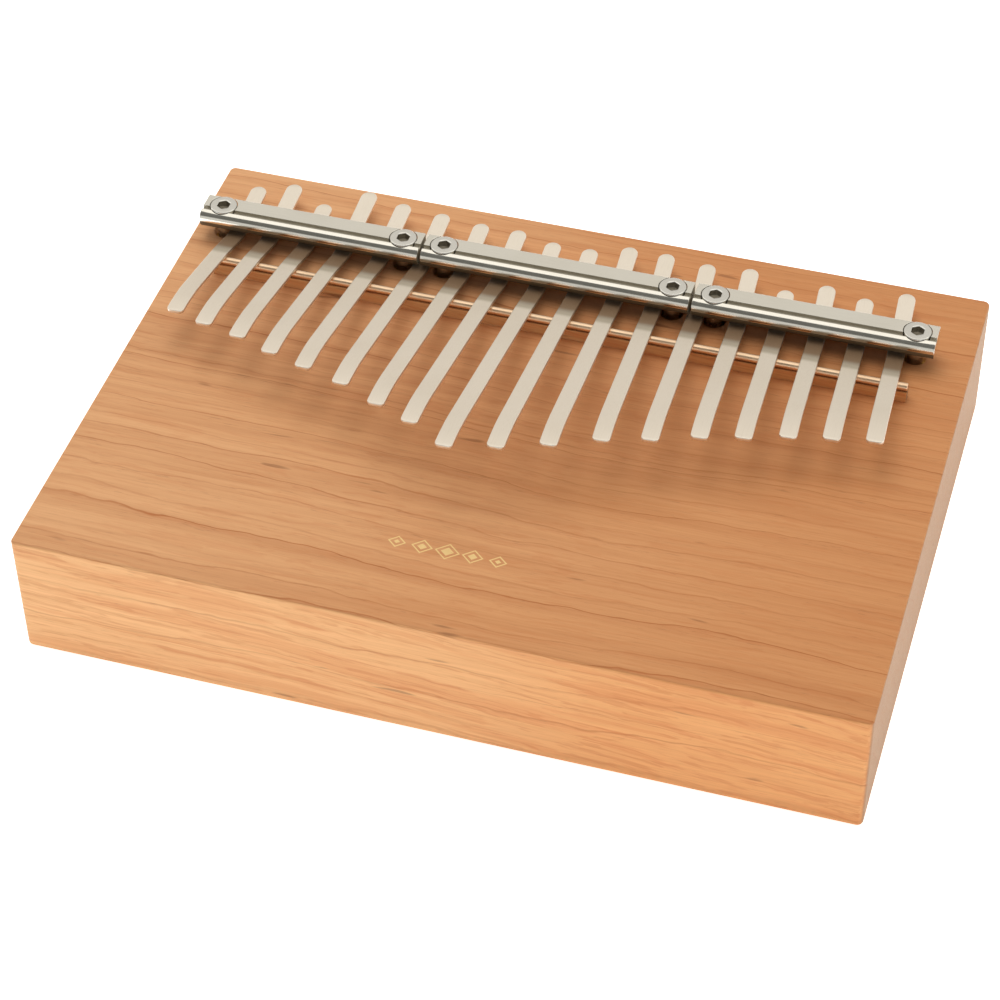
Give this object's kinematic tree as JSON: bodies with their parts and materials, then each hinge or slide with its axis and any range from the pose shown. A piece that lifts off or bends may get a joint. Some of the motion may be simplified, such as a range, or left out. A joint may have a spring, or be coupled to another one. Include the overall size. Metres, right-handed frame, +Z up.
{
  "type": "thumb piano",
  "caption": "Thumb piano: a solid wooden block with spring-steel tines clamped under a grooved pressure bar and running over a bridge rod, tips free to be plucked.",
  "frame": {"origin": "centre of the block's underside", "axes": "+Z up, +X to the player's right along the block's width, -Y towards the player; the tine tips point to -Y"},
  "size_m": [0.2, 0.145, 0.0521],
  "materials": {
    "block_wood": "oiled, satin, grain from left to right",
    "strip_wood": "sanded, satin",
    "rod_brass": "polished",
    "bar_plate": "bright nickel plate",
    "screw_steel": "bright nickel plate",
    "insert_brass": "turned",
    "tine_steel": "satin, deburred edges"
  },
  "bodies": {
    "root": {"body_block": "block_wood", "bridge_strip": "strip_wood", "bridge_rod": "rod_brass", "rear_saddle": "strip_wood", "bar_left": "bar_plate", "bar_middle": "bar_plate", "bar_right": "bar_plate", "clamp_screws": "screw_steel", "threaded_inserts": "insert_brass"},
    "body_tine_01": {"tine_01": "tine_steel"},
    "body_tine_02": {"tine_02": "tine_steel"},
    "body_tine_03": {"tine_03": "tine_steel"},
    "body_tine_04": {"tine_04": "tine_steel"},
    "body_tine_05": {"tine_05": "tine_steel"},
    "body_tine_06": {"tine_06": "tine_steel"},
    "body_tine_07": {"tine_07": "tine_steel"},
    "body_tine_08": {"tine_08": "tine_steel"},
    "body_tine_09": {"tine_09": "tine_steel"},
    "body_tine_10": {"tine_10": "tine_steel"},
    "body_tine_11": {"tine_11": "tine_steel"},
    "body_tine_12": {"tine_12": "tine_steel"},
    "body_tine_13": {"tine_13": "tine_steel"},
    "body_tine_14": {"tine_14": "tine_steel"},
    "body_tine_15": {"tine_15": "tine_steel"},
    "body_tine_16": {"tine_16": "tine_steel"},
    "body_tine_17": {"tine_17": "tine_steel"},
    "body_tine_18": {"tine_18": "tine_steel"}
  },
  "joints": [
    {"name": "pluck_01", "type": "hinge", "parent": "root", "child": "body_tine_01", "pos_m": [-0.08769, 0.0312, 0.0379], "axis": [1, 0, 0], "range_deg": [-0.9, 1.2], "stiffness_Nm_per_rad": 0.02},
    {"name": "pluck_02", "type": "hinge", "parent": "root", "child": "body_tine_02", "pos_m": [-0.07899, 0.0312, 0.0379], "axis": [1, 0, 0], "range_deg": [-0.9, 1.2], "stiffness_Nm_per_rad": 0.02},
    {"name": "pluck_03", "type": "hinge", "parent": "root", "child": "body_tine_03", "pos_m": [-0.06919, 0.0312, 0.0379], "axis": [1, 0, 0], "range_deg": [-0.9, 1.2], "stiffness_Nm_per_rad": 0.02},
    {"name": "pluck_04", "type": "hinge", "parent": "root", "child": "body_tine_04", "pos_m": [-0.05939, 0.0312, 0.0379], "axis": [1, 0, 0], "range_deg": [-0.9, 1.2], "stiffness_Nm_per_rad": 0.02},
    {"name": "pluck_05", "type": "hinge", "parent": "root", "child": "body_tine_05", "pos_m": [-0.04959, 0.0312, 0.0379], "axis": [1, 0, 0], "range_deg": [-0.9, 1.2], "stiffness_Nm_per_rad": 0.02},
    {"name": "pluck_06", "type": "hinge", "parent": "root", "child": "body_tine_06", "pos_m": [-0.03889, 0.0312, 0.0379], "axis": [1, 0, 0], "range_deg": [-0.9, 1.2], "stiffness_Nm_per_rad": 0.02},
    {"name": "pluck_07", "type": "hinge", "parent": "root", "child": "body_tine_07", "pos_m": [-0.02819, 0.0312, 0.0379], "axis": [1, 0, 0], "range_deg": [-0.9, 1.2], "stiffness_Nm_per_rad": 0.02},
    {"name": "pluck_08", "type": "hinge", "parent": "root", "child": "body_tine_08", "pos_m": [-0.01839, 0.0312, 0.0379], "axis": [1, 0, 0], "range_deg": [-0.9, 1.2], "stiffness_Nm_per_rad": 0.02},
    {"name": "pluck_09", "type": "hinge", "parent": "root", "child": "body_tine_09", "pos_m": [-0.00844, 0.0312, 0.0379], "axis": [1, 0, 0], "range_deg": [-0.9, 1.2], "stiffness_Nm_per_rad": 0.02},
    {"name": "pluck_10", "type": "hinge", "parent": "root", "child": "body_tine_10", "pos_m": [0.00165, 0.0312, 0.0379], "axis": [1, 0, 0], "range_deg": [-0.9, 1.2], "stiffness_Nm_per_rad": 0.02},
    {"name": "pluck_11", "type": "hinge", "parent": "root", "child": "body_tine_11", "pos_m": [0.01174, 0.0312, 0.0379], "axis": [1, 0, 0], "range_deg": [-0.9, 1.2], "stiffness_Nm_per_rad": 0.02},
    {"name": "pluck_12", "type": "hinge", "parent": "root", "child": "body_tine_12", "pos_m": [0.02183, 0.0312, 0.0379], "axis": [1, 0, 0], "range_deg": [-0.9, 1.2], "stiffness_Nm_per_rad": 0.02},
    {"name": "pluck_13", "type": "hinge", "parent": "root", "child": "body_tine_13", "pos_m": [0.03253, 0.0312, 0.0379], "axis": [1, 0, 0], "range_deg": [-0.9, 1.2], "stiffness_Nm_per_rad": 0.02},
    {"name": "pluck_14", "type": "hinge", "parent": "root", "child": "body_tine_14", "pos_m": [0.04323, 0.0312, 0.0379], "axis": [1, 0, 0], "range_deg": [-0.9, 1.2], "stiffness_Nm_per_rad": 0.02},
    {"name": "pluck_15", "type": "hinge", "parent": "root", "child": "body_tine_15", "pos_m": [0.05303, 0.0312, 0.0379], "axis": [1, 0, 0], "range_deg": [-0.9, 1.2], "stiffness_Nm_per_rad": 0.02},
    {"name": "pluck_16", "type": "hinge", "parent": "root", "child": "body_tine_16", "pos_m": [0.06283, 0.0312, 0.0379], "axis": [1, 0, 0], "range_deg": [-0.9, 1.2], "stiffness_Nm_per_rad": 0.02},
    {"name": "pluck_17", "type": "hinge", "parent": "root", "child": "body_tine_17", "pos_m": [0.07263, 0.0312, 0.0379], "axis": [1, 0, 0], "range_deg": [-0.9, 1.2], "stiffness_Nm_per_rad": 0.02},
    {"name": "pluck_18", "type": "hinge", "parent": "root", "child": "body_tine_18", "pos_m": [0.08243, 0.0312, 0.0379], "axis": [1, 0, 0], "range_deg": [-0.9, 1.2], "stiffness_Nm_per_rad": 0.02}
  ]
}
